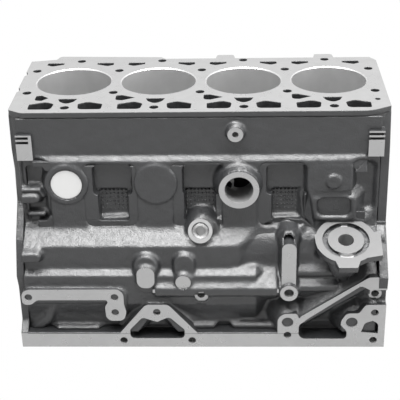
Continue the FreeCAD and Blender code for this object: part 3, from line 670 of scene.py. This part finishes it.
def diamond_tree(skin):
    """Geometry nodes: rows of low four-sided diamonds on a rectangle."""
    tree = bpy.data.node_groups.new("diamond_rows", "GeometryNodeTree")
    face = tree.interface
    wanted = [("Width", 0.03), ("Height", 0.03), ("Pitch", 0.005), ("Rise", 0.001)]
    for label, value in wanted:
        socket = face.new_socket(name=label, in_out="INPUT", socket_type="NodeSocketFloat")
        socket.default_value = value
    face.new_socket(name="Geometry", in_out="OUTPUT", socket_type="NodeSocketGeometry")
    start = tree.nodes.new("NodeGroupInput")
    end = tree.nodes.new("NodeGroupOutput")

    def maths(operation, a, b):
        node = tree.nodes.new("ShaderNodeMath")
        node.operation = operation
        for i, value in enumerate((a, b)):
            if isinstance(value, (int, float)):
                node.inputs[i].default_value = value
            else:
                tree.links.new(value, node.inputs[i])
        return node.outputs[0]

    width, height, pitch, rise = [start.outputs[i] for i in range(4)]
    grid = tree.nodes.new("GeometryNodeMeshGrid")
    tree.links.new(width, grid.inputs["Size X"])
    tree.links.new(height, grid.inputs["Size Y"])
    tree.links.new(maths("ADD", maths("DIVIDE", width, pitch), 1.0), grid.inputs["Vertices X"])
    tree.links.new(maths("ADD", maths("DIVIDE", height, pitch), 1.0),
                   grid.inputs["Vertices Y"])
    cone = tree.nodes.new("GeometryNodeMeshCone")
    cone.inputs["Vertices"].default_value = 4
    tree.links.new(maths("MULTIPLY", pitch, DIAMOND_FOOT), cone.inputs["Radius Bottom"])
    tree.links.new(maths("MULTIPLY", pitch, DIAMOND_TOP), cone.inputs["Radius Top"])
    tree.links.new(rise, cone.inputs["Depth"])
    place = tree.nodes.new("GeometryNodeInstanceOnPoints")
    tree.links.new(grid.outputs["Mesh"], place.inputs["Points"])
    tree.links.new(cone.outputs["Mesh"], place.inputs["Instance"])
    real = tree.nodes.new("GeometryNodeRealizeInstances")
    tree.links.new(place.outputs["Instances"], real.inputs["Geometry"])
    dress = tree.nodes.new("GeometryNodeSetMaterial")
    dress.inputs["Material"].default_value = skin
    tree.links.new(real.outputs["Geometry"], dress.inputs["Geometry"])
    tree.links.new(dress.outputs["Geometry"], end.inputs[0])
    return tree


class BLOCK_OT_diamonds(bpy.types.Operator):
    """Raises the rows of small diamonds on the three sunk panels"""
    bl_idname = "block.diamonds"
    bl_label = "Add diamond panels"

    def execute(self, context):
        panels = context.scene.block_panels
        tree = diamond_tree(bpy.data.materials["cast_iron_skin"])
        z0, z1 = DIAMOND_Z
        for i, (x0, x1) in enumerate(DIAMOND_PANELS):
            host = bpy.data.objects.new("grow", bpy.data.meshes.new("grow"))
            context.scene.collection.objects.link(host)
            modifier = host.modifiers.new("rows", "NODES")
            modifier.node_group = tree
            sizes = ((x1 - x0) * MM, (z1 - z0) * MM, panels.pitch, panels.height)
            inputs = [s for s in tree.interface.items_tree if s.in_out == "INPUT"]
            for socket, value in zip(inputs, sizes):
                modifier[socket.identifier] = value
            depsgraph = context.evaluated_depsgraph_get()
            mesh = bpy.data.meshes.new_from_object(host.evaluated_get(depsgraph))
            bpy.data.objects.remove(host)
            turn = Matrix.Rotation(math.radians(90), 4, "X")
            place = Matrix.Translation(bank((x0 + x1) / 2, -DIAMOND_DEPTH, (z0 + z1) / 2))
            mesh.transform(place @ turn)
            piece = bpy.data.objects.new("diamond_panel_%d" % (i + 1), mesh)
            context.scene.collection.objects.link(piece)
            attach(piece, "root")
        return {"FINISHED"}


# ------------------------------------------------------------------ studio
class BLOCK_OT_studio(bpy.types.Operator):
    """Sets the pale floor, the soft lights and the camera"""
    bl_idname = "block.studio"
    bl_label = "Set studio"

    def execute(self, context):
        studio = context.scene.block_studio
        scene = context.scene
        self.lay_floor(context, studio)
        self.fill_world(context, studio)
        self.hang_lights(context, studio)
        self.place_camera(context)
        scene.view_settings.view_transform = "Standard"
        return {"FINISHED"}

    def lay_floor(self, context, studio):
        mesh = bpy.data.meshes.new("floor")
        size = FLOOR_HALF
        mesh.from_pydata([(-size, -size, 0), (size, -size, 0), (size, size, 0),
                          (-size, size, 0)], [], [(0, 1, 2, 3)])
        floor = bpy.data.objects.new("floor", mesh)
        context.scene.collection.objects.link(floor)
        mat = bpy.data.materials.new("floor_white")
        mat.use_nodes = True
        tree = mat.node_tree
        tree.nodes.clear()
        out = add(tree, "ShaderNodeOutputMaterial")
        glow = add(tree, "ShaderNodeEmission")
        glow.inputs["Color"].default_value = (*studio.floor, 1)
        matte = add(tree, "ShaderNodeBsdfDiffuse")
        matte.inputs["Color"].default_value = (FLOOR_MATTE, FLOOR_MATTE, FLOOR_MATTE, 1)
        seen = self.seen(tree)
        mix = add(tree, "ShaderNodeMixShader")
        tree.links.new(seen, mix.inputs[0])
        tree.links.new(matte.outputs[0], mix.inputs[1])
        tree.links.new(glow.outputs[0], mix.inputs[2])
        tree.links.new(mix.outputs[0], out.inputs["Surface"])
        mesh.materials.append(mat)

    def fill_world(self, context, studio):
        world = bpy.data.worlds.new("studio")
        context.scene.world = world
        world.use_nodes = True
        tree = world.node_tree
        tree.nodes.clear()
        out = add(tree, "ShaderNodeOutputWorld")
        light = add(tree, "ShaderNodeBackground")
        light.inputs["Color"].default_value = (1, 1, 1, 1)
        light.inputs["Strength"].default_value = studio.fill
        white = add(tree, "ShaderNodeBackground")
        white.inputs["Color"].default_value = (*studio.floor, 1)
        mix = add(tree, "ShaderNodeMixShader")
        tree.links.new(self.seen(tree), mix.inputs[0])
        tree.links.new(light.outputs[0], mix.inputs[1])
        tree.links.new(white.outputs[0], mix.inputs[2])
        tree.links.new(mix.outputs[0], out.inputs["Surface"])

    def seen(self, tree):
        """1 where the camera sees a surface, straight, in gloss or through glass."""
        path = add(tree, "ShaderNodeLightPath")
        total = path.outputs["Is Camera Ray"]
        for ray in ("Is Glossy Ray", "Is Transmission Ray"):
            most = add(tree, "ShaderNodeMath", operation="MAXIMUM")
            tree.links.new(total, most.inputs[0])
            tree.links.new(path.outputs[ray], most.inputs[1])
            total = most.outputs[0]
        return total

    def hang_lights(self, context, studio):
        def lamp(name, power, size, place):
            data = bpy.data.lights.new(name, "AREA")
            data.shape = "RECTANGLE"
            data.size, data.size_y = size
            data.energy = power
            obj = bpy.data.objects.new(name, data)
            context.scene.collection.objects.link(obj)
            obj.location = place
            aim = Vector(LAMP_TARGET) - Vector(place)
            obj.rotation_euler = aim.to_track_quat("-Z", "Y").to_euler()

        lamp("key", studio.key, *KEY_LAMP)
        lamp("side", studio.side, *SIDE_LAMP)

    def place_camera(self, context):
        pitch, yaw, roll = [math.radians(a) for a in CAMERA_ANGLES]
        forward = Vector((math.sin(yaw) * math.cos(pitch), math.cos(yaw) * math.cos(pitch),
                          -math.sin(pitch)))
        right = Vector((math.cos(yaw), -math.sin(yaw), 0))
        up = right.cross(forward)
        side = right * math.cos(roll) + up * math.sin(roll)
        top = -right * math.sin(roll) + up * math.cos(roll)
        data = bpy.data.cameras.new("view")
        data.lens = CAMERA_LENS
        data.sensor_width = CAMERA_SENSOR
        data.clip_end = 50
        camera = bpy.data.objects.new("view", data)
        context.scene.collection.objects.link(camera)
        turn = Matrix((side, top, -forward)).transposed()
        camera.matrix_world = Matrix.Translation(bank(*CAMERA_PLACE)) @ turn.to_4x4()
        context.scene.camera = camera


class BLOCK_PT_sidebar(bpy.types.Panel):
    bl_idname = "BLOCK_PT_sidebar"
    bl_label = "Engine block"
    bl_space_type = "VIEW_3D"
    bl_region_type = "UI"
    bl_category = "Block"

    def draw(self, context):
        scene = context.scene
        for group in (scene.block_finish, scene.block_panels, scene.block_studio):
            box = self.layout.box()
            for name in group.bl_rna.properties.keys():
                if name not in ("rna_type", "name"):
                    box.prop(group, name)
        for operator in STEPS:
            self.layout.operator(operator.bl_idname)


STEPS = (BLOCK_OT_casting, BLOCK_OT_skin, BLOCK_OT_fittings, BLOCK_OT_diamonds, BLOCK_OT_studio)
GROUPS = (BlockFinish, BlockPanels, BlockStudio)


def register():
    for cls in GROUPS + STEPS + (BLOCK_PT_sidebar,):
        bpy.utils.register_class(cls)
    bpy.types.Scene.block_finish = bpy.props.PointerProperty(type=BlockFinish)
    bpy.types.Scene.block_panels = bpy.props.PointerProperty(type=BlockPanels)
    bpy.types.Scene.block_studio = bpy.props.PointerProperty(type=BlockStudio)


def unregister():
    del bpy.types.Scene.block_studio
    del bpy.types.Scene.block_panels
    del bpy.types.Scene.block_finish
    for cls in reversed(GROUPS + STEPS + (BLOCK_PT_sidebar,)):
        bpy.utils.unregister_class(cls)


def main():
    register()
    bpy.ops.block.casting()
    bpy.ops.block.skin()
    bpy.ops.block.fittings()
    bpy.ops.block.diamonds()
    bpy.ops.block.studio()


if __name__ == "__main__":
    main()
